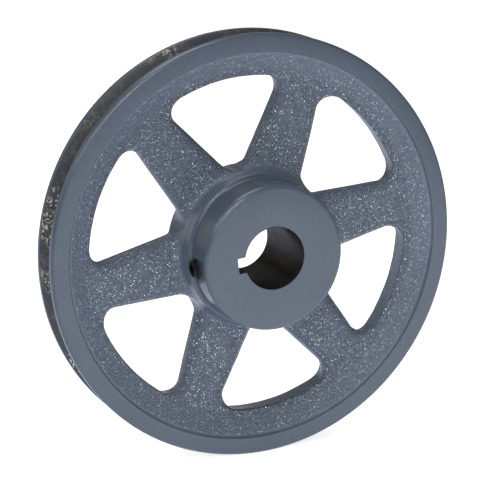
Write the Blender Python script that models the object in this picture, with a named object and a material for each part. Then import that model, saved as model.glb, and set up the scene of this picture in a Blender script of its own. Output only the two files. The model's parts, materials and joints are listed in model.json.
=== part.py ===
"""Single-groove V-belt pulley with six arms, bored and keyed for a one inch shaft.

The pulley turns about the Y axis. Its hub stands out towards -Y, which is the front, and the
origin lies on the axis in the middle plane of the belt groove. Units are metres, with +Z up.
"""
import math

import bmesh
import bpy
from mathutils import Matrix, Vector

# Rim
OUTSIDE_DIAMETER = 0.17653
FACE_WIDTH = 0.01905
EDGE_ROUNDING = 0.0015       # of the rim's outer edges
GROOVE_TOP_WIDTH = 0.01265
GROOVE_DEPTH = 0.0125
GROOVE_ANGLE = math.radians(38.0)
RIM_WALL = 0.0053            # iron left between the groove's floor and the arm windows
RIM_DRAFT = 0.0012           # how much wider the windows' outer arc is at the back
RIM_LIP = 0.0007             # flat left between the windows' outer arc and the rim's slope
FACED_RING_WIDTH = 0.0072    # flat turned ring on each side, measured in from the edge
FACED_STEP = 0.0011          # the turned ring stands this much proud of the cast surface
FACED_DRAFT = 0.0004         # how far that step leans in

# Arms
ARM_COUNT = 6
ARM_ANGLE = math.radians(10.18)      # direction of the first arm, from +X towards +Z
ARM_WIDTH_AT_HUB = 0.0259
ARM_WIDTH_AT_RIM = 0.0183
ARM_THICKNESS = 0.0111
ARM_OFFSET = 0.00175                 # middle of the arms behind the middle of the groove
ARM_EDGE_RADIUS = 0.0050
ARM_EDGE_ROUNDED_TO = math.radians(65.0)   # the edge arc ends this far round, short of the face
LEAST_STRAIGHT_SIDE = 0.0005             # kept flat on each side of the arms' middle
WINDOW_RIM_CORNER = 0.0062
WINDOW_HUB_CORNER = 0.0070

# Hub
HUB_DIAMETER = 0.0603
HUB_LENGTH = 0.0364
HUB_BACK_PROUD = 0.0007      # the hub's back face stands this far behind the rim's
HUB_ROUNDING = 0.0020        # of the hub's front edge
BACK_CHAMFER = 0.0005        # of the hub's back edge
BOSS_STEP = 0.0015           # the cast boss is this much larger in radius than the turned hub
BOSS_HEIGHT = 0.0081         # from the arms' front face to the boss's shoulder
BOSS_DRAFT = 0.0005
BOSS_FILLET = 0.0046
BACK_BOSS_FILLET = 0.0010
WINDOW_GAP = 0.0005          # the windows stop this far outside the cast boss

# Bore and keyway
BORE_DIAMETER = 0.0254
BORE_CHAMFER = 0.0003
KEYWAY_WIDTH = 0.00635
KEYWAY_DEPTH = 0.003175
KEYWAY_ANGLE = math.radians(-173.0)  # direction of the keyway, from +X towards +Z

# Set screw, which is over the keyway
SCREW_FROM_HUB_FACE = 0.0101
SCREW_DIAMETER = 0.0074
SCREW_CLEARANCE = 0.0003     # between the screw and its hole, all round
SCREW_LENGTH = 0.009525
SCREW_PROUD = 0.0019         # how far the screw's head end stands out of the hub
SCREW_CHAMFER = 0.0006
SCREW_POINT_DIAMETER = 0.0044
SCREW_CUP_DEPTH = 0.0008
SOCKET_ACROSS_FLATS = 0.00397
SOCKET_DEPTH = 0.0040

# How finely round shapes are divided
WHEEL_SEGMENTS = 72
SCREW_SEGMENTS = 32
FILLET_STEPS = 4
CORNER_STEPS = 5
EDGE_STEPS = 4
ROUNDING_STEPS = 3
CUT_PAST = 0.0010            # how far a cutter runs past the surface that it opens

# Sizes that follow from the ones above
OUTSIDE_RADIUS = OUTSIDE_DIAMETER / 2
RIM_FRONT = -FACE_WIDTH / 2
RIM_BACK = FACE_WIDTH / 2
GROOVE_FLOOR_RADIUS = OUTSIDE_RADIUS - GROOVE_DEPTH
GROOVE_FLOOR_WIDTH = GROOVE_TOP_WIDTH - 2 * GROOVE_DEPTH * math.tan(GROOVE_ANGLE / 2)
RIM_INNER_RADIUS = GROOVE_FLOOR_RADIUS - RIM_WALL
FACED_RADIUS = OUTSIDE_RADIUS - FACED_RING_WIDTH
ARM_FRONT = ARM_OFFSET - ARM_THICKNESS / 2
ARM_BACK = ARM_OFFSET + ARM_THICKNESS / 2
HUB_RADIUS = HUB_DIAMETER / 2
HUB_BACK = RIM_BACK + HUB_BACK_PROUD
HUB_FRONT = HUB_BACK - HUB_LENGTH
BOSS_RADIUS = HUB_RADIUS + BOSS_STEP
BOSS_ROOT_RADIUS = BOSS_RADIUS + BOSS_DRAFT + BOSS_FILLET
BOSS_FRONT = ARM_FRONT - BOSS_HEIGHT
BACK_BOSS_RADIUS = BOSS_RADIUS + BOSS_DRAFT
WINDOW_INNER_RADIUS = BACK_BOSS_RADIUS + WINDOW_GAP
BORE_RADIUS = BORE_DIAMETER / 2
SCREW_RADIUS = SCREW_DIAMETER / 2
SCREW_Y = HUB_FRONT + SCREW_FROM_HUB_FACE


def arc(centre, radius, start, end, steps):
    """Points on a circle arc, both ends included, as (first, second) coordinates."""
    points = []
    for i in range(steps + 1):
        angle = start + (end - start) * i / steps
        points.append((centre[0] + radius * math.cos(angle), centre[1] + radius * math.sin(angle)))
    return points


def wheel_profile():
    """The casting's section as (radius, y) points, from the bore out along the front and back."""
    edge_radius = OUTSIDE_RADIUS - EDGE_ROUNDING
    cone_radius = FACED_RADIUS - FACED_DRAFT
    front = [(BORE_RADIUS + BORE_CHAMFER, HUB_FRONT)]
    front += arc((HUB_RADIUS - HUB_ROUNDING, HUB_FRONT + HUB_ROUNDING), HUB_ROUNDING,
                 -math.pi / 2, 0, ROUNDING_STEPS)
    front += [
        (HUB_RADIUS, BOSS_FRONT - BOSS_STEP),
        (BOSS_RADIUS, BOSS_FRONT),
    ]
    front += arc((BOSS_ROOT_RADIUS, ARM_FRONT - BOSS_FILLET), BOSS_FILLET,
                 math.pi, math.pi / 2, FILLET_STEPS)
    front += [
        (RIM_INNER_RADIUS + RIM_LIP, ARM_FRONT),
        (cone_radius, RIM_FRONT + FACED_STEP),
        (FACED_RADIUS, RIM_FRONT),
    ]
    front += arc((edge_radius, RIM_FRONT + EDGE_ROUNDING), EDGE_ROUNDING, -math.pi / 2, 0, ROUNDING_STEPS)
    groove = [
        (OUTSIDE_RADIUS, -GROOVE_TOP_WIDTH / 2),
        (GROOVE_FLOOR_RADIUS, -GROOVE_FLOOR_WIDTH / 2),
        (GROOVE_FLOOR_RADIUS, GROOVE_FLOOR_WIDTH / 2),
        (OUTSIDE_RADIUS, GROOVE_TOP_WIDTH / 2),
    ]
    back = arc((edge_radius, RIM_BACK - EDGE_ROUNDING), EDGE_ROUNDING, 0, math.pi / 2, ROUNDING_STEPS)
    back += [
        (FACED_RADIUS, RIM_BACK),
        (cone_radius, RIM_BACK - FACED_STEP),
        (RIM_INNER_RADIUS + RIM_DRAFT + RIM_LIP, ARM_BACK),
    ]
    back += arc((BACK_BOSS_RADIUS + BACK_BOSS_FILLET, ARM_BACK + BACK_BOSS_FILLET), BACK_BOSS_FILLET,
                -math.pi / 2, -math.pi, FILLET_STEPS // 2)
    back += [
        (BACK_BOSS_RADIUS, HUB_BACK - BACK_CHAMFER),
        (BACK_BOSS_RADIUS - BACK_CHAMFER, HUB_BACK),
        (BORE_RADIUS + BORE_CHAMFER, HUB_BACK),
        (BORE_RADIUS, HUB_BACK - BORE_CHAMFER),
        (BORE_RADIUS, HUB_FRONT + BORE_CHAMFER),
    ]
    return front + groove + back


def turned_mesh(name, profile, axis, segments):
    """A closed ring-shaped solid: the closed (radius, height) profile turned about an axis."""
    bm = bmesh.new()
    axis = Vector(axis)
    verts = [bm.verts.new(Vector((radius, 0.0, 0.0)) + axis * height) for radius, height in profile]
    edges = [bm.edges.new((verts[i], verts[i - 1])) for i in range(len(verts))]
    bmesh.ops.spin(bm, geom=verts + edges, cent=(0, 0, 0), axis=axis, angle=2 * math.pi,
                   steps=segments, use_merge=True)
    return finished_mesh(name, bm)


def finished_mesh(name, bm):
    bmesh.ops.recalc_face_normals(bm, faces=bm.faces[:])
    mesh = bpy.data.meshes.new(name)
    bm.to_mesh(mesh)
    bm.free()
    mesh.shade_smooth()
    mesh.set_sharp_from_angle(angle=math.radians(30.0))
    return mesh


def lofted_mesh(name, stacks):
    """Closed solids, each skinned over a stack of loops that have the same number of points."""
    bm = bmesh.new()
    for stack in stacks:
        rings = [[bm.verts.new(point) for point in loop] for loop in stack]
        for lower, upper in zip(rings, rings[1:]):
            for i in range(len(lower)):
                bm.faces.new((lower[i - 1], lower[i], upper[i], upper[i - 1]))
        bm.faces.new(rings[0])
        bm.faces.new(rings[-1])
    return finished_mesh(name, bm)


def arm_half_width(distance):
    """Half the arm's width at a distance from the axis, measured along the arm."""
    share = (distance - BACK_BOSS_RADIUS) / (RIM_INNER_RADIUS - BACK_BOSS_RADIUS)
    return (ARM_WIDTH_AT_HUB + (ARM_WIDTH_AT_RIM - ARM_WIDTH_AT_HUB) * share) / 2


def corner_centre(side_point, inward, along, radius, from_axis):
    """Centre of a corner arc that touches the window's side and is this far from the axis."""
    start = side_point + inward * radius
    reach = start.dot(along)
    return start + along * (-reach + math.sqrt(reach * reach - start.length_squared + from_axis ** 2))


def window_outline(relief, outer_radius):
    """One arm window about the +v axis of the (u, v) plane, its sides moved out by relief.

    The outline is half rim arc, rim corner, straight side, hub corner and half hub arc,
    followed by their mirror image.
    """
    half_pitch = math.pi / ARM_COUNT
    to_arm = Matrix.Rotation(-half_pitch, 2)
    ends = []
    for distance in (BACK_BOSS_RADIUS, RIM_INNER_RADIUS):
        ends.append(to_arm @ Vector((-arm_half_width(distance), distance)))
    along = (ends[1] - ends[0]).normalized()
    inward = Vector((-along.y, along.x))
    rim_corner = WINDOW_RIM_CORNER + relief
    hub_corner = WINDOW_HUB_CORNER + relief
    side_point = ends[0] - inward * relief
    rim_centre = corner_centre(side_point, inward, along, rim_corner, outer_radius - rim_corner)
    hub_centre = corner_centre(side_point, inward, along, hub_corner, WINDOW_INNER_RADIUS + hub_corner)
    rim_angle = math.atan2(rim_centre.y, rim_centre.x)
    hub_angle = math.atan2(hub_centre.y, hub_centre.x)
    side_angle = math.atan2(-inward.y, -inward.x)
    half = arc((0, 0), outer_radius, math.pi / 2, rim_angle, CORNER_STEPS)
    half += arc(rim_centre, rim_corner, rim_angle, side_angle, CORNER_STEPS)[1:]
    half += arc(hub_centre, hub_corner, side_angle, hub_angle - math.pi, CORNER_STEPS)
    half += arc((0, 0), WINDOW_INNER_RADIUS, hub_angle, math.pi / 2, 2)[1:]
    mirrored = [(-u, v) for u, v in reversed(half[1:-1])]
    return half + mirrored


def window_sections():
    """(y, relief, outer radius) of the loops that round a window's two edges."""
    edge_radius = min(ARM_EDGE_RADIUS, ARM_THICKNESS / 2 - LEAST_STRAIGHT_SIDE)
    straight = ARM_THICKNESS / 2 - edge_radius
    sections = []
    for i in range(EDGE_STEPS + 1):
        angle = ARM_EDGE_ROUNDED_TO * i / EDGE_STEPS
        depth = straight + edge_radius * math.sin(angle)
        relief = edge_radius * (1 - math.cos(angle))
        sections.append((depth, relief))
    levels = [(ARM_FRONT - BOSS_FILLET, relief)]
    levels += [(ARM_OFFSET - depth, relief) for depth, relief in reversed(sections)]
    levels += [(ARM_OFFSET + depth, relief) for depth, relief in sections]
    levels.append((ARM_BACK + CUT_PAST, relief))
    result = []
    for y, relief in levels:
        behind = min(max((y - ARM_FRONT) / ARM_THICKNESS, 0.0), 1.0)
        result.append((y, relief, RIM_INNER_RADIUS + RIM_DRAFT * behind))
    return result


def window_stack(direction):
    """Loops of one window cutter whose middle lies in a direction, from +X towards +Z."""
    turn = Matrix.Rotation(direction - math.pi / 2, 2)
    stack = []
    for y, relief, outer_radius in window_sections():
        loop = []
        for point in window_outline(relief, outer_radius):
            x, z = turn @ Vector(point)
            loop.append((x, y, z))
        stack.append(loop)
    return stack


def window_mesh():
    pitch = 2 * math.pi / ARM_COUNT
    return lofted_mesh("arm_windows", [window_stack(ARM_ANGLE + pitch * (i + 0.5))
                                       for i in range(ARM_COUNT)])


def box_mesh(name, low, high):
    bm = bmesh.new()
    bmesh.ops.create_cube(bm, size=1.0)
    size = Vector(high) - Vector(low)
    middle = (Vector(high) + Vector(low)) / 2
    bmesh.ops.scale(bm, vec=size, verts=bm.verts)
    bmesh.ops.translate(bm, vec=middle, verts=bm.verts)
    return finished_mesh(name, bm)


def prism_mesh(name, radius, sides, low, high):
    """An upright prism or cylinder, from low to high along its own Z axis."""
    bm = bmesh.new()
    bmesh.ops.create_cone(bm, cap_ends=True, segments=sides, radius1=radius, radius2=radius,
                          depth=high - low)
    bmesh.ops.translate(bm, vec=(0, 0, (high + low) / 2), verts=bm.verts)
    return finished_mesh(name, bm)


def screw_mesh():
    """The set screw's body about +Z: head end at z = 0, cup point at z = -SCREW_LENGTH."""
    point_radius = SCREW_POINT_DIAMETER / 2
    cone_height = (SCREW_RADIUS - point_radius)
    profile = [
        (SCREW_RADIUS - SCREW_CHAMFER, 0.0),
        (SCREW_RADIUS, -SCREW_CHAMFER),
        (SCREW_RADIUS, -SCREW_LENGTH + cone_height),
        (point_radius, -SCREW_LENGTH),
    ]
    bm = bmesh.new()
    rings = []
    for radius, z in profile:
        rings.append([bm.verts.new((x, y, z)) for x, y in
                      arc((0, 0), radius, 0, 2 * math.pi, SCREW_SEGMENTS)[:-1]])
    for upper, lower in zip(rings, rings[1:]):
        for i in range(SCREW_SEGMENTS):
            bm.faces.new((upper[i - 1], upper[i], lower[i], lower[i - 1]))
    bm.faces.new(rings[0])
    cup = bm.verts.new((0, 0, -SCREW_LENGTH + SCREW_CUP_DEPTH))
    for i in range(SCREW_SEGMENTS):
        bm.faces.new((rings[-1][i - 1], rings[-1][i], cup))
    return finished_mesh("set_screw", bm)


def material(name, colour, roughness, metallic):
    made = bpy.data.materials.new(name)
    made.use_nodes = True
    shader = made.node_tree.nodes["Principled BSDF"]
    shader.inputs["Base Color"].default_value = (*colour, 1.0)
    shader.inputs["Roughness"].default_value = roughness
    shader.inputs["Metallic"].default_value = metallic
    made.diffuse_color = (*colour, 1.0)
    return made


def add(name, mesh, parent, finish=None):
    made = bpy.data.objects.new(name, mesh)
    bpy.context.scene.collection.objects.link(made)
    made.parent = parent
    if finish:
        mesh.materials.append(finish)
    return made


def cut(target, cutter):
    """Takes the cutter's shape out of the target and leaves the cutter as a wire guide."""
    cutter.hide_render = True
    cutter.display_type = "WIRE"
    boolean = target.modifiers.new(cutter.name, "BOOLEAN")
    boolean.operation = "DIFFERENCE"
    boolean.solver = "EXACT"
    boolean.object = cutter


for old in list(bpy.data.objects):
    bpy.data.objects.remove(old, do_unlink=True)

painted_iron = material("painted_cast_iron", (0.105, 0.135, 0.170), 0.42, 0.0)
black_steel = material("black_oxide_steel", (0.030, 0.025, 0.022), 0.45, 0.9)

pulley_axis = bpy.data.objects.new("pulley_axis", None)
pulley_axis.empty_display_size = BORE_RADIUS
bpy.context.scene.collection.objects.link(pulley_axis)

# The keyway guide's local +Z points from the axis out through the keyway and the set screw.
keyway_guide = bpy.data.objects.new("keyway_guide", None)
keyway_guide.empty_display_size = HUB_RADIUS
keyway_guide.rotation_euler = (0.0, math.pi / 2 - KEYWAY_ANGLE, 0.0)
keyway_guide.parent = pulley_axis
bpy.context.scene.collection.objects.link(keyway_guide)

wheel = add("pulley_wheel", turned_mesh("pulley_wheel", wheel_profile(), (0, 1, 0), WHEEL_SEGMENTS),
            pulley_axis, painted_iron)
cut(wheel, add("arm_windows", window_mesh(), pulley_axis))
cut(wheel, add("keyway", box_mesh("keyway", (-KEYWAY_WIDTH / 2, HUB_FRONT - CUT_PAST, 0.0),
                                  (KEYWAY_WIDTH / 2, HUB_BACK + CUT_PAST, BORE_RADIUS + KEYWAY_DEPTH)),
               keyway_guide))

screw_hole = add("screw_hole", prism_mesh("screw_hole", SCREW_RADIUS + SCREW_CLEARANCE, SCREW_SEGMENTS,
                                          BORE_RADIUS / 2, BOSS_ROOT_RADIUS), keyway_guide)
screw_hole.location = (0.0, SCREW_Y, 0.0)
cut(wheel, screw_hole)

set_screw = add("set_screw", screw_mesh(), keyway_guide, black_steel)
set_screw.location = (0.0, SCREW_Y, HUB_RADIUS + SCREW_PROUD)
socket_radius = SOCKET_ACROSS_FLATS / math.sqrt(3.0)
socket = add("hex_socket", prism_mesh("hex_socket", socket_radius, 6, -SOCKET_DEPTH, CUT_PAST), set_screw)
cut(set_screw, socket)
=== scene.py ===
"""Looks of the V-belt pulley: the enamelled casting, its turned faces, oiled bore darkened with painted
shade, and set screw.

The pulley's axis is Y, its hub stands out towards -Y and +Z is up. Lengths are in metres.
"""
import json
import math

import bmesh
import bpy
from mathutils import Matrix, Vector, noise


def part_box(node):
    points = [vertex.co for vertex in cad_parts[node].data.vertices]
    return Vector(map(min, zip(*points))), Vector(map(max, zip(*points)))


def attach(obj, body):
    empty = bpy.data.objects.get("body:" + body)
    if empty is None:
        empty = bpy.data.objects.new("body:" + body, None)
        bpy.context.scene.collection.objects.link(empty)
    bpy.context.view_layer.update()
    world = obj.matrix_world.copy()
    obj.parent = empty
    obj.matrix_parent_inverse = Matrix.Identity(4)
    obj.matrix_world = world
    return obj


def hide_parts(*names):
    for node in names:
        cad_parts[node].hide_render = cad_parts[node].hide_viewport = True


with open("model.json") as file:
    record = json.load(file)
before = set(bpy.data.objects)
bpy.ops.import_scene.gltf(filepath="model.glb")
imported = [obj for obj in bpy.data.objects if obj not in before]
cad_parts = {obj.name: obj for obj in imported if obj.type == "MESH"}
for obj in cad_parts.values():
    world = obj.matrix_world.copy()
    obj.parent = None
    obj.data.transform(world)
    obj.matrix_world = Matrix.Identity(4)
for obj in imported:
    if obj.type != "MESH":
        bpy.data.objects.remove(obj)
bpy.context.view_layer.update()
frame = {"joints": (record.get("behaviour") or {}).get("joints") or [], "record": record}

# Places read from the frame
wheel_low, wheel_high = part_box("pulley_wheel")
screw_low, screw_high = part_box("set_screw")
mounts = {mount["name"]: Vector(mount["pos_m"]) for mount in frame["record"]["mounts"]}
OUTSIDE_RADIUS = wheel_high.x
HUB_FRONT = mounts["hub_front_face"].y
HUB_BACK = mounts["hub_back_face"].y
RIM_FRONT = mounts["rim_front_face"].y
RIM_BACK = mounts["rim_back_face"].y
SCREW_AXIS = -Vector(frame["joints"][0]["axis"]).normalized()
if SCREW_AXIS.x > 0:
    SCREW_AXIS = -SCREW_AXIS
SCREW_Y = (screw_low.y + screw_high.y) / 2

# Rim
EDGE_ROUNDING = 0.0015
GROOVE_TOP_WIDTH = 0.01265
GROOVE_DEPTH = 0.0125
GROOVE_ANGLE = math.radians(38.0)
GROOVE_LIP_ROUNDING = 0.0004
GROOVE_ROOT_ROUNDING = 0.0006
RIM_WALL = 0.0053
RIM_DRAFT = 0.0012
RIM_LIP = 0.0007
FACED_RING_WIDTH = 0.0072
FACED_STEP = 0.0011
FACED_DRAFT = 0.0004
FACED_FOOT = 0.0008          # fillet where the cast slope meets the turned ring's step
TURNED_EDGE = 0.00018        # how far turned corners are broken

# Arms
ARM_COUNT = 6
ARM_ANGLE = math.radians(10.18)
ARM_WIDTH_AT_HUB = 0.0259
ARM_WIDTH_AT_RIM = 0.0183
ARM_THICKNESS = 0.0111
ARM_OFFSET = 0.00175
ARM_EDGE_RADIUS = 0.0050
RIM_EDGE_RADIUS = 0.0010
HUB_EDGE_RADIUS = 0.0012
WINDOW_RIM_CORNER = 0.0062
WINDOW_HUB_CORNER = 0.0070

# Hub
HUB_RADIUS = 0.03015
HUB_ROUNDING = 0.0020
BACK_CHAMFER = 0.0005
BOSS_STEP = 0.0015
BOSS_HEIGHT = 0.0081
BOSS_DRAFT = 0.0005
BOSS_FILLET = 0.0046
BACK_BOSS_FILLET = 0.0010
WINDOW_GAP = 0.0005
HUB_MARGIN = 0.0002          # least web left between a window edge's rounding and the hub
BOSS_EDGE = 0.00028
HUB_FOOT = 0.0012            # fillet between the hub and the boss's face
BORE_EDGE = 0.0001
BORE_RADIUS = 0.0127
BORE_CHAMFER = 0.0003
KEYWAY_WIDTH = 0.00635
KEYWAY_DEPTH = 0.003175
KEYWAY_RELIEF = 0.0003       # how far the keyway's two floor corners are broken

# Surface of the casting
CAST_SPACING = 0.0013        # longest step of the mesh along a cast profile
SMALL_LUMP = 0.0026
SMALL_LUMP_HEIGHT = 0.00007
BROAD_LUMP = 0.009
BROAD_LUMP_HEIGHT = 0.00012
BROAD_LUMP_SHIFT = Vector((3.1, 0.7, 5.2))
HUB_GRAIN = 0.12
RIM_GRAIN = 0.6
EDGE_GRAIN = 0.4
WINDOW_GRAIN = 0.25

# Set screw
SCREW_LENGTH = 0.009525
SCREW_PROUD = 0.0019
THREAD_PITCH = 0.00141
SCREW_CREST = 0.0037
SCREW_ROOT = 0.00325
HOLE_CREST = 0.0038
HOLE_ROOT = 0.0042
SCREW_CHAMFER = 0.0006
POINT_RADIUS = 0.0022
CUP_DEPTH = 0.0008
SOCKET_ACROSS_FLATS = 0.00397
SOCKET_DEPTH = 0.0040
SOCKET_ANGLE = math.radians(12)
HOLE_START = BORE_RADIUS / 2 + 0.00013
HOLE_PAST = 0.006            # how far past the iron each cutter reaches
KEYWAY_PAST = 0.002
SOCKET_PAST = 0.001
THREAD_SEGMENTS = 72

# Sizes that follow from the ones above
GROOVE_FLOOR_RADIUS = OUTSIDE_RADIUS - GROOVE_DEPTH
GROOVE_FLOOR_WIDTH = GROOVE_TOP_WIDTH - 2 * GROOVE_DEPTH * math.tan(GROOVE_ANGLE / 2)
RIM_INNER_RADIUS = GROOVE_FLOOR_RADIUS - RIM_WALL
FACED_RADIUS = OUTSIDE_RADIUS - FACED_RING_WIDTH
SLOPE_RADIUS = FACED_RADIUS - FACED_DRAFT
ARM_FRONT = ARM_OFFSET - ARM_THICKNESS / 2
ARM_BACK = ARM_OFFSET + ARM_THICKNESS / 2
BOSS_RADIUS = HUB_RADIUS + BOSS_STEP
BOSS_WALL_RADIUS = BOSS_RADIUS + BOSS_DRAFT
BOSS_FRONT = ARM_FRONT - BOSS_HEIGHT
WINDOW_INNER_RADIUS = BOSS_WALL_RADIUS + WINDOW_GAP
JOIN_RADIUS = RIM_INNER_RADIUS + 0.0026      # where the web's mesh meets the rim's rings
HALF_PITCH = math.pi / ARM_COUNT

CAST, TURNED, GROOVE, BORE = range(4)        # finishes of the casting, by material slot


def smooth_step(share):
    share = min(max(share, 0.0), 1.0)
    return share * share * (3 - 2 * share)


class WebFace:
    """One side of the web: arms, the boss's fillet and the slope up to the rim."""

    def __init__(self, facing, flat_y, fillet, window_radius, slope_start, slope_end_y, blend):
        self.facing = facing                  # -1 on the front, +1 on the back
        self.flat_y = flat_y
        self.fillet = fillet
        self.root = BOSS_WALL_RADIUS + fillet
        self.unrolled_hub = self.root - fillet * math.pi / 2
        self.window_radius = window_radius
        self.slope_start = slope_start
        self.slope = facing * (slope_end_y - flat_y) / (SLOPE_RADIUS - slope_start)
        self.blend = blend

    def height(self, radius):
        """How far the surface stands out from the arms' flat face."""
        if radius < self.root:
            across = min(self.root - radius, self.fillet)
            return self.fillet - math.sqrt(self.fillet ** 2 - across ** 2)
        past = radius - self.slope_start
        if past < -self.blend:
            return 0.0
        if past > self.blend:
            return self.slope * past
        return self.slope * (past + self.blend) ** 2 / (4 * self.blend)

    def unrolled(self, point):
        """Lays the boss's fillet flat, so that distances along it are kept."""
        radius = point.length
        if radius >= self.root:
            return point.copy()
        turned = math.asin(min((self.root - radius) / self.fillet, 1.0))
        return point * ((self.root - self.fillet * turned) / radius)

    def edge_room(self, point, way, rounding):
        """A window edge's rounding, made smaller where it would run into the hub."""
        flat = self.unrolled(point)
        room = flat.length - self.unrolled_hub - HUB_MARGIN
        return min(rounding, room / max(-way.dot(flat.normalized()), 0.05))

    def placed(self, flat_point, sunk=0.0):
        """The (u, y, v) place of a point of the unrolled face, sunk below the surface."""
        flat_radius = flat_point.length
        radius = flat_radius
        if flat_radius < self.root:
            radius = self.root - self.fillet * math.sin((self.root - flat_radius) / self.fillet)
        point = flat_point * (radius / flat_radius)
        return Vector((point.x, self.flat_y + self.facing * (self.height(radius) - sunk), point.y))


FRONT = WebFace(-1, ARM_FRONT, BOSS_FILLET, RIM_INNER_RADIUS, RIM_INNER_RADIUS + RIM_LIP,
                RIM_FRONT + FACED_STEP, 0.0012)
BACK = WebFace(1, ARM_BACK, BACK_BOSS_FILLET, RIM_INNER_RADIUS + RIM_DRAFT,
               RIM_INNER_RADIUS + RIM_DRAFT + RIM_LIP, RIM_BACK - FACED_STEP, 0.0006)


def arm_half_width(distance):
    share = (distance - BOSS_WALL_RADIUS) / (RIM_INNER_RADIUS - BOSS_WALL_RADIUS)
    return (ARM_WIDTH_AT_HUB + (ARM_WIDTH_AT_RIM - ARM_WIDTH_AT_HUB) * share) / 2


def corner_centre(side_point, inward, along, radius, from_axis):
    """Centre of a corner arc that touches the window's side and is this far from the axis."""
    start = side_point + inward * radius
    reach = start.dot(along)
    return start + along * (-reach + math.sqrt(reach * reach - start.length_squared + from_axis ** 2))


def half_window(face):
    """Half of a window's outline about the +v axis: (point, way into the iron, edge rounding).

    It runs from the middle of the rim arc past the +u side to the middle of the hub arc.
    """
    to_arm = Matrix.Rotation(-HALF_PITCH, 2)
    ends = [to_arm @ Vector((-arm_half_width(distance), distance))
            for distance in (BOSS_WALL_RADIUS, RIM_INNER_RADIUS)]
    along = (ends[1] - ends[0]).normalized()
    inward = Vector((-along.y, along.x))
    rim_centre = corner_centre(ends[0], inward, along, WINDOW_RIM_CORNER,
                               face.window_radius - WINDOW_RIM_CORNER)
    hub_centre = corner_centre(ends[0], inward, along, WINDOW_HUB_CORNER,
                               WINDOW_INNER_RADIUS + WINDOW_HUB_CORNER)
    rim_angle = math.atan2(rim_centre.y, rim_centre.x)
    hub_angle = math.atan2(hub_centre.y, hub_centre.x)
    side_angle = math.atan2(-inward.y, -inward.x)
    outline = []

    def sweep(centre, radius, start, end, steps, roundings, skip_first=True):
        for i in range(1 if skip_first else 0, steps + 1):
            share = i / steps
            angle = start + (end - start) * share
            way = Vector((math.cos(angle), math.sin(angle)))
            rounding = roundings[0] + (roundings[1] - roundings[0]) * smooth_step(share)
            outline.append((centre + way * radius, way, rounding))

    sweep(Vector((0, 0)), face.window_radius, math.pi / 2, rim_angle, 22, (RIM_EDGE_RADIUS,) * 2, False)
    sweep(rim_centre, WINDOW_RIM_CORNER, rim_angle, side_angle, 20, (RIM_EDGE_RADIUS, ARM_EDGE_RADIUS))
    side_start = rim_centre - inward * WINDOW_RIM_CORNER
    side_end = hub_centre - inward * WINDOW_HUB_CORNER
    for i in range(1, 33):
        outline.append((side_start.lerp(side_end, i / 32), -inward, ARM_EDGE_RADIUS))
    sweep(hub_centre, WINDOW_HUB_CORNER, side_angle, hub_angle - math.pi, 14,
          (ARM_EDGE_RADIUS, HUB_EDGE_RADIUS))
    for i in range(1, 9):
        angle = hub_angle + (math.pi / 2 - hub_angle) * i / 8
        way = Vector((math.cos(angle), math.sin(angle)))
        outline.append((way * WINDOW_INNER_RADIUS, -way, HUB_EDGE_RADIUS))
    return outline


def circle_reach(point, way, radius):
    """How far along the way from the point the circle about the axis is met, or None."""
    along = point.dot(way)
    inside = along * along - point.length_squared + radius * radius
    if inside < 0:
        return None
    for reach in (-along - math.sqrt(inside), -along + math.sqrt(inside)):
        if reach > 1e-6:
            return reach
    return None


def web_edge(face, half):
    """Where each outline point's way meets the web's border: (kind, angle or share)."""
    across = Vector((math.cos(HALF_PITCH), -math.sin(HALF_PITCH)))
    edge = []
    for point, way, rounding in half:
        start = face.unrolled(point) + way * rounding
        choices = []
        if way.dot(across) > 1e-6:
            choices.append((-start.dot(across) / way.dot(across), "arm"))
        rim_reach = circle_reach(start, way, JOIN_RADIUS)
        if rim_reach:
            choices.append((rim_reach, "rim"))
        if way.dot(start) < 0:
            hub_reach = circle_reach(start, way, face.unrolled_hub)
            if hub_reach:
                choices.append((hub_reach, "hub"))
        reach, kind = min(choices)
        met = start + way * reach
        if kind == "arm":
            edge.append([kind, (met.length - face.unrolled_hub) / (JOIN_RADIUS - face.unrolled_hub)])
        else:
            edge.append([kind, math.atan2(met.y, met.x)])
    kinds = [kind for kind, _ in edge]
    first_arm, last_arm = kinds.index("arm"), len(kinds) - 1 - kinds[::-1].index("arm")
    edge[first_arm] = ["rim", math.pi / 2 - HALF_PITCH]
    edge[last_arm] = ["hub", math.pi / 2 - HALF_PITCH]
    return edge


def edge_point(face, kind, value):
    if kind == "arm":
        radius = face.unrolled_hub + (JOIN_RADIUS - face.unrolled_hub) * value
        angle = math.pi / 2 - HALF_PITCH
    else:
        radius = JOIN_RADIUS if kind == "rim" else face.unrolled_hub
        angle = value
    return Vector((radius * math.cos(angle), radius * math.sin(angle)))


def rounded_path(corners, longest=1.0):
    """A (radius, y, finish) path through corners that are each rounded by their own radius."""
    path = []
    for i, (radius, y, rounding, finish) in enumerate(corners):
        here = Vector((radius, y))
        if rounding <= 0:
            bend = [here]
        else:
            before = (Vector(corners[i - 1][:2]) - here).normalized()
            after = (Vector(corners[i + 1][:2]) - here).normalized()
            half_angle = before.angle(after) / 2
            centre = here + (before + after).normalized() * (rounding / math.sin(half_angle))
            start = here + before * (rounding / math.tan(half_angle)) - centre
            turn = math.pi - 2 * half_angle
            turn_way = 1 if before.x * after.y - before.y * after.x < 0 else -1
            steps = max(2, math.ceil(math.degrees(turn) / 11))
            bend = [centre + Matrix.Rotation(turn_way * turn * k / steps, 2) @ start
                    for k in range(steps + 1)]
        if path:
            last = Vector(path[-1][:2])
            pieces = math.ceil((bend[0] - last).length / longest)
            if path[-1][2] == CAST:
                for k in range(1, pieces):
                    path.append((*last.lerp(bend[0], k / pieces), CAST))
        path += [(*point, finish) for point in bend]
    return path


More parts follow.
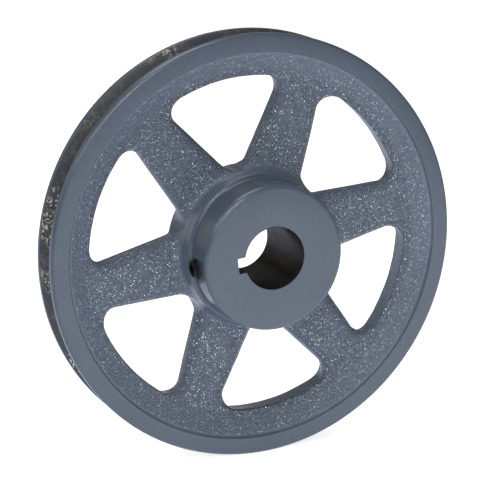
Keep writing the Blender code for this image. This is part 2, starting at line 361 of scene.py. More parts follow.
def rim_path():
    half_top, half_floor = GROOVE_TOP_WIDTH / 2, GROOVE_FLOOR_WIDTH / 2
    return rounded_path([
        (JOIN_RADIUS, FRONT.placed(Vector((0, JOIN_RADIUS))).y, 0, CAST),
        (SLOPE_RADIUS, RIM_FRONT + FACED_STEP, FACED_FOOT, CAST),
        (FACED_RADIUS, RIM_FRONT, TURNED_EDGE, TURNED),
        (OUTSIDE_RADIUS, RIM_FRONT, EDGE_ROUNDING, TURNED),
        (OUTSIDE_RADIUS, -half_top, GROOVE_LIP_ROUNDING, GROOVE),
        (GROOVE_FLOOR_RADIUS, -half_floor, GROOVE_ROOT_ROUNDING, GROOVE),
        (GROOVE_FLOOR_RADIUS, half_floor, GROOVE_ROOT_ROUNDING, GROOVE),
        (OUTSIDE_RADIUS, half_top, GROOVE_LIP_ROUNDING, TURNED),
        (OUTSIDE_RADIUS, RIM_BACK, EDGE_ROUNDING, TURNED),
        (FACED_RADIUS, RIM_BACK, TURNED_EDGE, CAST),
        (SLOPE_RADIUS, RIM_BACK - FACED_STEP, FACED_FOOT, CAST),
        (JOIN_RADIUS, BACK.placed(Vector((0, JOIN_RADIUS))).y, 0, CAST),
    ], CAST_SPACING)


def hub_path():
    return rounded_path([
        (BOSS_WALL_RADIUS, ARM_FRONT - BOSS_FILLET, 0, CAST),
        (BOSS_RADIUS, BOSS_FRONT, BOSS_EDGE, TURNED),
        (HUB_RADIUS, BOSS_FRONT, HUB_FOOT, TURNED),
        (HUB_RADIUS, HUB_FRONT, HUB_ROUNDING, TURNED),
        (BORE_RADIUS + BORE_CHAMFER, HUB_FRONT, BORE_EDGE, BORE),
        (BORE_RADIUS, HUB_FRONT + BORE_CHAMFER, BORE_EDGE, BORE),
        (BORE_RADIUS, HUB_BACK - BORE_CHAMFER, BORE_EDGE, BORE),
        (BORE_RADIUS + BORE_CHAMFER, HUB_BACK, BORE_EDGE, TURNED),
        (BOSS_WALL_RADIUS - BACK_CHAMFER, HUB_BACK, BORE_EDGE, TURNED),
        (BOSS_WALL_RADIUS, HUB_BACK - BACK_CHAMFER, BORE_EDGE, CAST),
        (BOSS_WALL_RADIUS, ARM_BACK + BACK_BOSS_FILLET, 0, CAST),
    ], CAST_SPACING)


def mirrored_loop(half):
    """The whole loop of a half that starts and ends on the mirror line."""
    return half + [Vector((-p.x, p.y, p.z)) for p in reversed(half[1:-1])]


def web_rows(edge):
    """Loops of one sixth of the web, from the front's border through the window to the back's."""
    levels, turns, depths = 6, 6, 3
    sides = []
    for face in (FRONT, BACK):
        rows = []
        half = [(point, way, face.edge_room(point, way, rounding))
                for point, way, rounding in half_window(face)]
        starts = [edge_point(face, kind, value) for kind, value in edge]
        ends = [face.unrolled(point) + way * rounding for point, way, rounding in half]
        for level in range(levels):
            rows.append(([face.placed(a.lerp(b, level / levels)) for a, b in zip(starts, ends)], 1.0))
        for turn in range(turns + 1):
            angle = math.pi / 2 * (1 - turn / turns)
            out, sunk = 1 - math.cos(angle), 1 - math.sin(angle)
            rows.append(([face.placed(face.unrolled(point) + way * (rounding * out), rounding * sunk)
                          for point, way, rounding in half], 1.0 if turn < turns - 1 else EDGE_GRAIN))
        sides.append(rows)
    front, back = sides
    between = []
    for depth in range(1, depths):
        share = depth / depths
        between.append(([a.lerp(b, share) for a, b in zip(front[-1][0], back[-1][0])],
                        WINDOW_GRAIN))
    rows = front + between + back[::-1]
    result = []
    for half, grain in rows:
        loop = mirrored_loop(half)
        result.append((loop, [grain * fillet_grain(math.hypot(p.x, p.z)) for p in loop]))
    return result


def fillet_grain(radius):
    """The boss's fillet gets smoother as it climbs."""
    return HUB_GRAIN + (1 - HUB_GRAIN) * smooth_step((radius - FRONT.root + 0.0042) / 0.0022)


def casting_mesh():
    """The whole casting before the keyway and the screw's hole are cut."""
    edge = web_edge(FRONT, half_window(FRONT))
    rows = web_rows(edge)
    places, faces, finishes, grains = [], [], [], []

    def add_strip(loops, closed):
        """Skins over loops of (points, their grain, finish of the strip that follows)."""
        first = len(places)
        count = len(loops[0][0])
        for points, grain, _ in loops:
            places.extend(points)
            grains.extend(grain)
        for k in range(len(loops) - 1):
            for i in range(count if closed else count - 1):
                after = (i + 1) % count
                here, there = first + k * count, first + (k + 1) * count
                faces.append((here + i, here + after, there + after, there + i))
                finishes.append(loops[k][2])

    def ring_angles(kind):
        half = sorted({value for way, value in edge if way == kind})
        return half + [math.pi - value for value in reversed(half[:-1])]

    def revolved(path, angles, grain_of):
        loops = []
        for radius, y, finish in path:
            points = [Vector((radius * math.cos(a), y, radius * math.sin(a))) for a in angles]
            loops.append((points, [grain_of(radius, y, finish)] * len(points), finish))
        return loops

    def rim_grain(radius, y, finish):
        if finish != CAST:
            return 0.0
        return RIM_GRAIN * (1 - smooth_step((radius - SLOPE_RADIUS + 0.0014) / 0.0010))

    def hub_grain(radius, y, finish):
        return HUB_GRAIN if finish == CAST and BOSS_FRONT + 0.0005 < y < HUB_BACK - 0.001 else 0.0

    for sixth in range(ARM_COUNT):
        first = len(places)
        add_strip([(points, grain, CAST) for points, grain in rows], True)
        add_strip(revolved(rim_path(), ring_angles("rim"), rim_grain), False)
        add_strip(revolved(hub_path(), ring_angles("hub"), hub_grain), False)
        turn = Matrix.Rotation(math.pi / 2 - ARM_ANGLE - 2 * HALF_PITCH * (sixth + 0.5), 3, "Y")
        places[first:] = [turn @ point for point in places[first:]]

    mesh = bpy.data.meshes.new("casting")
    mesh.from_pydata([tuple(p) for p in places], [], faces)
    mesh.polygons.foreach_set("material_index", finishes)
    mesh.attributes.new("grain", "FLOAT", "POINT").data.foreach_set("value", grains)
    bm = bmesh.new()
    bm.from_mesh(mesh)
    bmesh.ops.remove_doubles(bm, verts=bm.verts[:], dist=2e-6)
    bmesh.ops.recalc_face_normals(bm, faces=bm.faces[:])
    bm.normal_update()
    grain = bm.verts.layers.float["grain"]
    for vert in bm.verts:
        if vert[grain] > 0:
            small = noise.noise(vert.co / SMALL_LUMP) * SMALL_LUMP_HEIGHT
            broad = noise.noise(vert.co / BROAD_LUMP + BROAD_LUMP_SHIFT) * BROAD_LUMP_HEIGHT
            vert.co += vert.normal * (vert[grain] * (small + broad))
    bm.to_mesh(mesh)
    bm.free()
    mesh.shade_smooth()
    mesh.set_sharp_from_angle(angle=math.radians(28.0))
    return mesh


def threaded_mesh(name, crest, root, low, high, chamfer, point_radius, cup_depth, finish=0):
    """A closed threaded rod about +Z, chamfered at its top and coned to its point."""
    around, per_pitch = THREAD_SEGMENTS, 14
    levels = math.ceil((high - low) / THREAD_PITCH * per_pitch)
    places, faces = [], []
    for k in range(levels + 1):
        z = low + (high - low) * k / levels
        most = min(crest, crest - chamfer + (high - z))
        if point_radius:
            most = min(most, point_radius + (z - low) * 1.1)
        for i in range(around):
            angle = 2 * math.pi * i / around
            turn = (z / THREAD_PITCH - i / around) % 1.0
            flank = min(max((abs(turn - 0.5) - 0.07) / 0.34, 0.0), 1.0)
            radius = min(root + (crest - root) * flank, most)
            places.append((radius * math.cos(angle), radius * math.sin(angle), z))
    for k in range(levels):
        for i in range(around):
            after = (i + 1) % around
            here, there = k * around, (k + 1) * around
            faces.append((here + i, here + after, there + after, there + i))
    cup = len(places)
    places.append((0, 0, low + cup_depth))
    top = len(places)
    places.append((0, 0, high))
    for i in range(around):
        after = (i + 1) % around
        faces.append((i, cup, after))
        faces.append((levels * around + i, levels * around + after, top))
    mesh = bpy.data.meshes.new(name)
    mesh.from_pydata(places, [], faces)
    bm = bmesh.new()
    bm.from_mesh(mesh)
    bmesh.ops.recalc_face_normals(bm, faces=bm.faces[:])
    for face in bm.faces:
        face.material_index = finish
    bm.to_mesh(mesh)
    bm.free()
    mesh.shade_smooth()
    mesh.set_sharp_from_angle(angle=math.radians(40.0))
    return mesh


def placed_object(name, mesh, place=None):
    made = bpy.data.objects.new(name, mesh)
    bpy.context.scene.collection.objects.link(made)
    if place:
        made.matrix_world = place
    return made


def prism_mesh(name, outline, low, high, finish=0):
    """A closed prism about Z over an (x, y) outline."""
    bm = bmesh.new()
    rings = [[bm.verts.new((x, y, z)) for x, y in outline] for z in (low, high)]
    for i in range(len(outline)):
        bm.faces.new((rings[0][i - 1], rings[0][i], rings[1][i], rings[1][i - 1]))
    bm.faces.new(rings[0])
    bm.faces.new(rings[1])
    bmesh.ops.recalc_face_normals(bm, faces=bm.faces[:])
    for face in bm.faces:
        face.material_index = finish
    mesh = bpy.data.meshes.new(name)
    bm.to_mesh(mesh)
    bm.free()
    return mesh


def on_straight_run(vert):
    """Whether a vertex only divides a straight border between two faces."""
    if len(vert.link_edges) != 2:
        return False
    ways = [edge.other_vert(vert).co - vert.co for edge in vert.link_edges]
    return ways[0].angle(ways[1], 0.0) > math.radians(178)


def cut(target, cutters):
    """Cuts the cutters' shapes out of the target's mesh and removes the cutters."""
    for cutter in cutters:
        boolean = target.modifiers.new(cutter.name, "BOOLEAN")
        boolean.operation = "DIFFERENCE"
        boolean.solver = "EXACT"
        boolean.object = cutter
    bpy.context.view_layer.update()
    made = bpy.data.meshes.new_from_object(target.evaluated_get(bpy.context.evaluated_depsgraph_get()))
    target.modifiers.clear()
    target.data = made
    for cutter in cutters:
        bpy.data.objects.remove(cutter, do_unlink=True)
    joined = bmesh.new()
    joined.from_mesh(target.data)
    bmesh.ops.remove_doubles(joined, verts=joined.verts[:], dist=4e-6)
    bmesh.ops.dissolve_degenerate(joined, edges=joined.edges[:], dist=1e-6)
    loose = [edge for edge in joined.edges if not edge.link_faces]
    bmesh.ops.delete(joined, geom=loose, context="EDGES")
    bmesh.ops.dissolve_verts(joined, verts=[vert for vert in joined.verts if on_straight_run(vert)])
    joined.to_mesh(target.data)
    joined.free()


# Shader groups

def new_group(name, inputs, outputs):
    """An empty node group with named sockets: inputs as (kind, name, value), outputs as (kind, name)."""
    group = bpy.data.node_groups.new(name, "ShaderNodeTree")
    for kind, label, value in inputs:
        socket = group.interface.new_socket(name=label, in_out="INPUT", socket_type="NodeSocket" + kind)
        if value is not None:
            socket.default_value = value
    for kind, label in outputs:
        group.interface.new_socket(name=label, in_out="OUTPUT", socket_type="NodeSocket" + kind)
    return group, group.nodes.new("NodeGroupInput"), group.nodes.new("NodeGroupOutput")


def add_node(tree, kind, links=None, **settings):
    """A node with its settings, its inputs filled with values or linked to other sockets."""
    node = tree.nodes.new("ShaderNode" + kind)
    for name, value in settings.items():
        setattr(node, name, value)
    for key, value in (links or {}).items():
        if isinstance(value, bpy.types.NodeSocket):
            tree.links.new(value, node.inputs[key])
        else:
            node.inputs[key].default_value = value
    return node


def math_node(tree, operation, first, second=0.0):
    return add_node(tree, "Math", {0: first, 1: second}, operation=operation).outputs[0]


def mix_colours(tree, factor, first, second):
    """A colour mixed from two others, each a socket or a value."""
    mixed = add_node(tree, "Mix", {"Factor": factor}, data_type="RGBA")
    ends = [socket for socket in mixed.inputs if socket.type == "RGBA"]
    for end, colour in zip(ends, (first, second)):
        if isinstance(colour, bpy.types.NodeSocket):
            tree.links.new(colour, end)
        else:
            end.default_value = colour
    return next(socket for socket in mixed.outputs if socket.type == "RGBA")


def sand_grain_group():
    """Lumpy surface of a sand casting under paint, with small lightened, metallic spots that stand in for
    the grain's glints: partly real reflection, partly painted highlight.
    """
    group, given, result = new_group("sand_cast_grain", [
        ("Vector", "Position", None), ("Float", "Grain size", 0.0014), ("Float", "Spot share", 0.4),
        ("Float", "Spot radius", 0.25)], [("Float", "Height"), ("Float", "Painted glints"), ("Float", "Pit shade")])
    size = add_node(group, "CombineXYZ", {i: given.outputs["Grain size"] for i in range(3)})
    position = add_node(group, "VectorMath", {0: given.outputs["Position"], 1: size.outputs[0]},
                        operation="DIVIDE").outputs[0]
    lumps = add_node(group, "TexNoise", {"Vector": position, "Scale": 1.0, "Detail": 3.0, "Roughness": 0.6})
    cells = add_node(group, "TexVoronoi", {"Vector": position, "Scale": 1.0, "Randomness": 1.0})
    crowns = add_node(group, "MapRange", {"Value": cells.outputs["Distance"], "From Max": 0.75,
                                          "To Min": 0.5, "To Max": 0.0}, interpolation_type="SMOOTHSTEP")
    height = math_node(group, "ADD", lumps.outputs[0], math_node(group, "MULTIPLY", crowns.outputs[0], 0.5))
    group.links.new(height, result.inputs["Height"])
    draw = add_node(group, "SeparateColor", {0: cells.outputs["Color"]})
    # Painted highlight: some grain cells get a lightened, metallic spot of random strength.
    chosen = math_node(group, "LESS_THAN", draw.outputs[0], given.outputs["Spot share"])
    reach = math_node(group, "MULTIPLY", given.outputs["Spot radius"],
                      math_node(group, "ADD", draw.outputs[1], 0.5))
    inside = math_node(group, "LESS_THAN", cells.outputs["Distance"], reach)
    painted_glint_strength = add_node(group, "MapRange", {"Value": draw.outputs[2], "To Min": 0.25, "To Max": 1.0})
    painted_glints = math_node(group, "MULTIPLY", math_node(group, "MULTIPLY", chosen, inside), painted_glint_strength.outputs[0])
    group.links.new(painted_glints, result.inputs["Painted glints"])
    # Painted shade: the lumps' low spots are marked for darkening.
    pit_shade = add_node(group, "MapRange", {"Value": lumps.outputs[0], "From Min": 0.52, "From Max": 0.36})
    group.links.new(pit_shade.outputs[0], result.inputs["Pit shade"])
    return group


def enamel_tone_group():
    """Enamel that is a little thicker, thinner and dustier from place to place."""
    group, given, result = new_group("enamel_tone", [
        ("Vector", "Position", None), ("Color", "Enamel", (0.5, 0.5, 0.5, 1)),
        ("Color", "Dust", (0.5, 0.5, 0.5, 1)), ("Float", "Dust amount", 0.2)], [("Color", "Colour")])
    broad = add_node(group, "TexNoise", {"Vector": given.outputs["Position"], "Scale": 38.0, "Detail": 2.0})
    fine = add_node(group, "TexNoise", {"Vector": given.outputs["Position"], "Scale": 420.0, "Detail": 2.0})
    shade = add_node(group, "MapRange", {"Value": broad.outputs[0], "From Min": 0.3, "From Max": 0.7,
                                         "To Min": 0.94, "To Max": 1.06})
    dusty = add_node(group, "MapRange", {"Value": fine.outputs[0], "From Min": 0.52, "From Max": 0.75})
    tinted = add_node(group, "VectorMath", {0: given.outputs["Enamel"], "Scale": shade.outputs[0]},
                      operation="SCALE")
    amount = math_node(group, "MULTIPLY", dusty.outputs[0], given.outputs["Dust amount"])
    group.links.new(mix_colours(group, amount, tinted.outputs[0], given.outputs["Dust"]),
                    result.inputs["Colour"])
    return group


def turning_marks_group():
    """Fine concentric ridges left by the lathe, about the pulley's axis."""
    group, given, result = new_group("turning_marks", [
        ("Vector", "Position", None), ("Float", "Feed", 0.00025)], [("Float", "Height")])
    parts = add_node(group, "SeparateXYZ", {0: given.outputs["Position"]})
    flat = add_node(group, "CombineXYZ", {0: parts.outputs[0], 1: parts.outputs[2], 2: 0.0})
    radius = add_node(group, "VectorMath", {0: flat.outputs[0]}, operation="LENGTH")
    travel = math_node(group, "ADD", radius.outputs["Value"], parts.outputs[1])
    turns = math_node(group, "DIVIDE", travel, given.outputs["Feed"])
    ridges = add_node(group, "TexNoise", {"W": turns, "Scale": 1.0, "Detail": 2.0}, noise_dimensions="1D")
    group.links.new(ridges.outputs[0], result.inputs["Height"])
    return group


SAND_GRAIN = sand_grain_group()
ENAMEL_TONE = enamel_tone_group()
TURNING_MARKS = turning_marks_group()


def new_material(name):
    made = bpy.data.materials.new(name)
    made.use_nodes = True
    return made, made.node_tree, made.node_tree.nodes["Principled BSDF"]


def group_node(tree, group, links):
    node = add_node(tree, "Group", None, node_tree=group)
    for key, value in links.items():
        if isinstance(value, bpy.types.NodeSocket):
            tree.links.new(value, node.inputs[key])
        else:
            node.inputs[key].default_value = value
    return node


# Colours of the finishes
ENAMEL = (0.060, 0.079, 0.102, 1)
ENAMEL_ON_CASTING = (0.081, 0.106, 0.137, 1)
DUST = (0.30, 0.31, 0.32, 1)
# Painted highlight: near-white colour of the grain's glint spots
PAINTED_GLINT_COLOUR = (0.66, 0.70, 0.76, 1)
# Painted shade in the grain's low spots: its colour and how far it darkens
PIT_SHADE_COLOUR = (0.028, 0.036, 0.048, 1)
PIT_SHADE_DARKNESS = 0.55
GROOVE_PAINT = (0.032, 0.039, 0.045, 1)
GROOVE_DUST = (0.22, 0.20, 0.13, 1)
BARE_IRON = (0.56, 0.54, 0.42, 1)
# Oiled iron of the bore, darkened to near-black as painted shade inside the bore
BORE_OIL_AND_SHADE = (0.008, 0.007, 0.007, 1)
BORE_RUST = (0.05, 0.032, 0.022, 1)
OXIDE = (0.014, 0.012, 0.012, 1)
OXIDE_RUST = (0.08, 0.045, 0.03, 1)


def cast_enamel():
    made, tree, shader = new_material("cast_enamel")
    place = add_node(tree, "TexCoord").outputs["Object"]
    amount = add_node(tree, "Attribute", attribute_name="grain").outputs["Fac"]
    grain = group_node(tree, SAND_GRAIN, {"Position": place, "Grain size": 0.00085, "Spot share": 0.5,
                                          "Spot radius": 0.29})
    tone = group_node(tree, ENAMEL_TONE, {"Position": place, "Enamel": ENAMEL_ON_CASTING, "Dust": DUST,
                                          "Dust amount": 0.08})
    painted_glints = math_node(tree, "MULTIPLY", grain.outputs["Painted glints"], amount)
    # Painted shade: the grain's low spots are darkened towards a near-black blue.
    pit_shade = math_node(tree, "MULTIPLY", math_node(tree, "MULTIPLY", grain.outputs["Pit shade"], amount),
                     PIT_SHADE_DARKNESS)
    pit_shaded = mix_colours(tree, pit_shade, tone.outputs[0], PIT_SHADE_COLOUR)
    # Painted highlight: the glint spots take a near-white colour and turn metallic.
    with_painted_glints = mix_colours(tree, painted_glints, pit_shaded, PAINTED_GLINT_COLOUR)
    tree.links.new(with_painted_glints, shader.inputs["Base Color"])
    tree.links.new(painted_glints, shader.inputs["Metallic"])
    shader.inputs["Roughness"].default_value = 0.24
    height = math_node(tree, "MULTIPLY", grain.outputs["Height"], amount)
    bump = add_node(tree, "Bump", {"Height": height, "Strength": 1.0, "Distance": 0.0008})
    tree.links.new(bump.outputs[0], shader.inputs["Normal"])
    return made


def turned_enamel():
    made, tree, shader = new_material("turned_enamel")
    place = add_node(tree, "TexCoord").outputs["Object"]
    marks = group_node(tree, TURNING_MARKS, {"Position": place, "Feed": 0.0004})
    tone = group_node(tree, ENAMEL_TONE, {"Position": place, "Enamel": ENAMEL, "Dust": DUST,
                                          "Dust amount": 0.04})
    tree.links.new(tone.outputs[0], shader.inputs["Base Color"])
    orange_peel = add_node(tree, "TexNoise", {"Vector": place, "Scale": 500.0, "Detail": 2.0})
    rough = add_node(tree, "MapRange", {"Value": orange_peel.outputs[0], "To Min": 0.17, "To Max": 0.25})
    tree.links.new(rough.outputs[0], shader.inputs["Roughness"])
    height = math_node(tree, "ADD", math_node(tree, "MULTIPLY", marks.outputs[0], 0.25),
                       orange_peel.outputs[0])
    bump = add_node(tree, "Bump", {"Height": height, "Strength": 0.25, "Distance": 0.0001})
    tree.links.new(bump.outputs[0], shader.inputs["Normal"])
    return made


def groove_iron():
    made, tree, shader = new_material("groove_iron")
    place = add_node(tree, "TexCoord").outputs["Object"]
    marks = group_node(tree, TURNING_MARKS, {"Position": place, "Feed": 0.0005})
    tone = group_node(tree, ENAMEL_TONE, {"Position": place, "Enamel": GROOVE_PAINT, "Dust": GROOVE_DUST,
                                          "Dust amount": 0.35})
    thin = add_node(tree, "TexNoise", {"Vector": place, "Scale": 900.0, "Detail": 3.0})
    patches = add_node(tree, "TexNoise", {"Vector": place, "Scale": 45.0, "Detail": 1.0})
    worn = add_node(tree, "MapRange", {"Value": patches.outputs[0], "From Min": 0.52, "From Max": 0.62})
    bare = add_node(tree, "MapRange", {"Value": thin.outputs[0], "From Min": 0.53, "From Max": 0.60})
    shows = math_node(tree, "MULTIPLY", worn.outputs[0], bare.outputs[0])
    tree.links.new(mix_colours(tree, shows, tone.outputs[0], BARE_IRON), shader.inputs["Base Color"])
    tree.links.new(shows, shader.inputs["Metallic"])
    rough = add_node(tree, "MapRange", {"Value": thin.outputs[0], "To Min": 0.36, "To Max": 0.5})
    tree.links.new(rough.outputs[0], shader.inputs["Roughness"])
    height = math_node(tree, "ADD", marks.outputs[0], thin.outputs[0])
    bump = add_node(tree, "Bump", {"Height": height, "Strength": 0.4, "Distance": 0.0001})
    tree.links.new(bump.outputs[0], shader.inputs["Normal"])
    return made


def shaded_oiled_bore():
    made, tree, shader = new_material("shaded_oiled_bore")
    place = add_node(tree, "TexCoord").outputs["Object"]
    marks = group_node(tree, TURNING_MARKS, {"Position": place, "Feed": 0.00035})
    tone = group_node(tree, ENAMEL_TONE, {"Position": place, "Enamel": BORE_OIL_AND_SHADE, "Dust": BORE_RUST,
                                          "Dust amount": 0.35})
    tree.links.new(tone.outputs[0], shader.inputs["Base Color"])
    # Painted shade: the bore is near-black with little shine, darker than oiled iron by itself.
    shader.inputs["Specular IOR Level"].default_value = 0.14
    oil = add_node(tree, "TexNoise", {"Vector": place, "Scale": 140.0, "Detail": 3.0})
    rough = add_node(tree, "MapRange", {"Value": oil.outputs[0], "To Min": 0.25, "To Max": 0.5})
    tree.links.new(rough.outputs[0], shader.inputs["Roughness"])
    bump = add_node(tree, "Bump", {"Height": marks.outputs[0], "Strength": 0.5, "Distance": 0.0001})
    tree.links.new(bump.outputs[0], shader.inputs["Normal"])
    return made


def black_oxide():
    made, tree, shader = new_material("black_oxide")
    place = add_node(tree, "TexCoord").outputs["Object"]
    tone = group_node(tree, ENAMEL_TONE, {"Position": place, "Enamel": OXIDE, "Dust": OXIDE_RUST,
                                          "Dust amount": 0.3})
    tree.links.new(tone.outputs[0], shader.inputs["Base Color"])
    shader.inputs["Metallic"].default_value = 0.8
    skin = add_node(tree, "TexNoise", {"Vector": place, "Scale": 2200.0, "Detail": 2.0})
    rough = add_node(tree, "MapRange", {"Value": skin.outputs[0], "To Min": 0.3, "To Max": 0.5})
    tree.links.new(rough.outputs[0], shader.inputs["Roughness"])
    bump = add_node(tree, "Bump", {"Height": skin.outputs[0], "Strength": 0.3, "Distance": 0.00005})
    tree.links.new(bump.outputs[0], shader.inputs["Normal"])
    return made


# The pulley's pieces

finishes = [cast_enamel(), turned_enamel(), groove_iron(), shaded_oiled_bore()]
casting = placed_object("casting", casting_mesh())
for finish in finishes:
    casting.data.materials.append(finish)

# The keyway's cutter has its own +Z along the pulley's axis and its +Y out through the keyway.
radial_out = Vector((SCREW_AXIS.x, 0, SCREW_AXIS.z)).normalized()
axis_way = Vector((0, -1, 0))
keyway_place = Matrix((radial_out.cross(axis_way), radial_out, axis_way)).transposed().to_4x4()
half_key = KEYWAY_WIDTH / 2
floor_radius = BORE_RADIUS + KEYWAY_DEPTH
keyway_cutter = placed_object("keyway", prism_mesh("keyway", [
    (-half_key, 0), (half_key, 0), (half_key, floor_radius - KEYWAY_RELIEF),
    (half_key - KEYWAY_RELIEF, floor_radius), (-half_key + KEYWAY_RELIEF, floor_radius),
    (-half_key, floor_radius - KEYWAY_RELIEF)],
    -HUB_BACK - KEYWAY_PAST, -HUB_FRONT + KEYWAY_PAST, BORE), keyway_place)

# The screw and its hole have their own +Z out along the screw, and their +X along the pulley's axis.
screw_turn = Matrix((-axis_way, radial_out.cross(-axis_way), radial_out)).transposed().to_4x4()
hole_place = Matrix.Translation(Vector((0, SCREW_Y, 0))) @ screw_turn
hole_cutter = placed_object("screw_hole", threaded_mesh(
    "screw_hole", HOLE_ROOT, HOLE_CREST, HOLE_START, HUB_RADIUS + HOLE_PAST, 0, 0, 0, BORE), hole_place)
for cutter in (keyway_cutter, hole_cutter):
    for finish in finishes:
        cutter.data.materials.append(finish)
cut(casting, [keyway_cutter, hole_cutter])

screw_top = Vector((0, SCREW_Y, 0)) + radial_out * (HUB_RADIUS + SCREW_PROUD)
screw_place = Matrix.Translation(screw_top) @ screw_turn
socket_screw = placed_object("socket_set_screw", threaded_mesh(
    "socket_set_screw", SCREW_CREST, SCREW_ROOT, -SCREW_LENGTH, 0, SCREW_CHAMFER, POINT_RADIUS, CUP_DEPTH),
    screw_place)
black = black_oxide()
socket_screw.data.materials.append(black)
hex_radius = SOCKET_ACROSS_FLATS / math.sqrt(3.0)
corner_angles = [SOCKET_ANGLE + math.radians(60 * i) for i in range(6)]
hexagon = [(hex_radius * math.cos(angle), hex_radius * math.sin(angle)) for angle in corner_angles]
hex_cutter = placed_object("hex_socket", prism_mesh("hex_socket", hexagon, -SOCKET_DEPTH, SOCKET_PAST),
                           screw_place)
hex_cutter.data.materials.append(black)
cut(socket_screw, [hex_cutter])

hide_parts("pulley_wheel")
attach(casting, "wheel")
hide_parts("set_screw")
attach(socket_screw, "screw")

# Studio

CAMERA_AZIMUTH = math.radians(-23.35)
CAMERA_ELEVATION = math.radians(14.11)
CAMERA_DISTANCE = 0.8319
CAMERA_ACROSS = -0.00259
CAMERA_UP = 0.00047
IMAGE_SIZE = 485
FOCAL_IN_IMAGE = 2019.7
COOL = (0.80, 0.85, 1.0)
# The floor's painted pool of light: where it lies, where it fades, and how it glows near and far
POOL_CENTRE = (0.12, -0.24)
POOL_REACH = (0.12, 0.46)    # how far from its centre the pool of light starts and stops fading
POOL_GLOW = (1.05, 1.09, 1.24, 1)
FAR_GLOW = (0.15, 0.18, 0.28, 1)
FLOOR_GLOW_IN_VIEW = (0.78, 0.78, 0.78, 1)
FLOOR_REACH = 3.0

to_camera = Vector((math.sin(CAMERA_AZIMUTH) * math.cos(CAMERA_ELEVATION),
                    -math.cos(CAMERA_AZIMUTH) * math.cos(CAMERA_ELEVATION), math.sin(CAMERA_ELEVATION)))
camera_right = Vector((0, 0, 1)).cross(to_camera).normalized()
camera_up = to_camera.cross(camera_right)


def seen_from_camera(across, up, towards):
    """A place by its distances to the right of, above and towards the camera from the pulley."""
    return camera_right * across + camera_up * up + to_camera * towards


camera_data = bpy.data.cameras.new("camera")
camera_data.sensor_width = 36.0
camera_data.lens = FOCAL_IN_IMAGE * camera_data.sensor_width / IMAGE_SIZE
camera_data.clip_start = 0.01
camera_data.clip_end = 20.0
camera = bpy.data.objects.new("camera", camera_data)
bpy.context.scene.collection.objects.link(camera)
turn = Matrix((camera_right, camera_up, to_camera)).transposed().to_4x4()
camera.matrix_world = Matrix.Translation(seen_from_camera(CAMERA_ACROSS, CAMERA_UP, CAMERA_DISTANCE)) @ turn
bpy.context.scene.camera = camera
bpy.context.scene.view_settings.view_transform = "Standard"


def soft_light(name, place, size, radiance, colour=(1, 1, 1), tilt=0.0):
    """A rectangular area light that points at the pulley, as wide and high as its size says."""
    data = bpy.data.lights.new(name, "AREA")
    data.shape = "RECTANGLE"
    data.size, data.size_y = size
    data.energy = radiance * math.pi * size[0] * size[1]
    data.color = colour
    made = bpy.data.objects.new(name, data)
    bpy.context.scene.collection.objects.link(made)
    out = place.normalized()
    across = Vector((0, 0, 1)).cross(out).normalized()
    across = Matrix.Rotation(tilt, 3, out) @ across
    turn = Matrix((across, out.cross(across), out)).transposed().to_4x4()
    made.matrix_world = Matrix.Translation(place) @ turn
    return made


def towards_camera(right_degrees, up_degrees, distance):
    """A place seen from the pulley so many degrees right of and above the camera."""
    right, up = math.radians(right_degrees), math.radians(up_degrees)
    way = (camera_right * math.sin(right) * math.cos(up) + camera_up * math.sin(up)
           + to_camera * math.cos(right) * math.cos(up))
    return way * distance


soft_light("broad_light", towards_camera(-8, 10, 1.6), (1.5, 1.1), 0.45)
soft_light("high_strip", towards_camera(-5, 17.5, 1.5), (1.2, 0.08), 17.0, tilt=math.radians(27))
soft_light("front_key", towards_camera(24, -1, 1.5), (0.34, 0.16), 22.0, tilt=math.radians(30))
soft_light("overhead_light", Vector((-0.14, -0.02, 0.95)) * 1.4, (1.5, 0.7), 4.2, (0.82, 0.85, 1.0))
soft_light("left_light", Vector((-0.83, -0.16, 0.54)) * 1.5, (0.8, 0.6), 1.7, (0.78, 0.80, 1.0))
soft_light("back_light", Vector((-0.02, 0.70, 0.72)) * 1.5, (0.9, 0.42), 0.9, COOL)
soft_light("rear_light", Vector((-0.75, 0.62, 0.25)) * 1.7, (1.0, 0.7), 1.0)

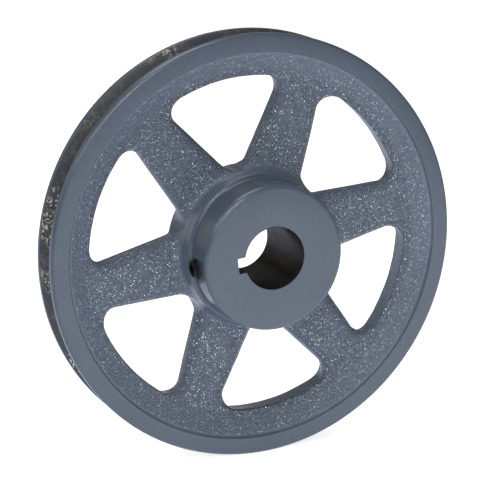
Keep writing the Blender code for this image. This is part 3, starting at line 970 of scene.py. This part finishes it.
world = bpy.data.worlds.new("studio")
world.use_nodes = True
bpy.context.scene.world = world
tree = world.node_tree
tree.nodes.clear()
seen = add_node(tree, "LightPath").outputs["Is Camera Ray"]
way_out = add_node(tree, "TexCoord").outputs["Generated"]
room = add_node(tree, "TexNoise", {"Vector": way_out, "Scale": 3.2, "Detail": 2.0})
room_share = add_node(tree, "MapRange", {"Value": room.outputs[0], "From Min": 0.42, "From Max": 0.66})
room_colour = add_node(tree, "ValToRGB", {"Fac": room_share.outputs[0]})
room_colour.color_ramp.elements[0].color = (0.035, 0.034, 0.034, 1)
room_colour.color_ramp.elements[1].color = (0.36, 0.33, 0.25, 1)
dim = add_node(tree, "Background", {"Color": room_colour.outputs[0], "Strength": 1.0})
white = add_node(tree, "Background", {"Color": (1, 1, 1, 1), "Strength": 1.0})
mixed = add_node(tree, "MixShader", {0: seen, 1: dim.outputs[0], 2: white.outputs[0]})
add_node(tree, "OutputWorld", {0: mixed.outputs[0]})

floor_mesh = bpy.data.meshes.new("floor")
floor_z = wheel_low.z
corners = [(-FLOOR_REACH, -FLOOR_REACH), (FLOOR_REACH, -FLOOR_REACH), (FLOOR_REACH, FLOOR_REACH),
           (-FLOOR_REACH, FLOOR_REACH)]
floor_mesh.from_pydata([(*corner, floor_z) for corner in corners], [], [(0, 1, 2, 3)])
floor = placed_object("floor", floor_mesh)
floor_finish, tree, shader = new_material("pale_floor")
place = add_node(tree, "TexCoord").outputs["Object"]
cloud = add_node(tree, "TexNoise", {"Vector": place, "Scale": 3.0})
pale = add_node(tree, "MapRange", {"Value": cloud.outputs[0], "To Min": 0.80, "To Max": 0.84})
tree.links.new(add_node(tree, "CombineColor", {i: pale.outputs[0] for i in range(3)}).outputs[0],
               shader.inputs["Base Color"])
shader.inputs["Roughness"].default_value = 0.9
seen = add_node(tree, "LightPath").outputs["Is Camera Ray"]
# Painted pool of light: for rays other than the camera's the floor glows, brightest in a pool in front of
# the pulley, while the camera sees an even pale grey.
from_pool = add_node(tree, "VectorMath", {0: place, 1: (*POOL_CENTRE, floor_z)}, operation="DISTANCE")
pool = add_node(tree, "MapRange", {"Value": from_pool.outputs["Value"], "From Min": POOL_REACH[0],
                                   "From Max": POOL_REACH[1]}, interpolation_type="SMOOTHSTEP")
glow = mix_colours(tree, pool.outputs[0], POOL_GLOW, FAR_GLOW)
tree.links.new(mix_colours(tree, seen, glow, FLOOR_GLOW_IN_VIEW), shader.inputs["Emission Color"])
shader.inputs["Emission Strength"].default_value = 1.0
floor_mesh.materials.append(floor_finish)
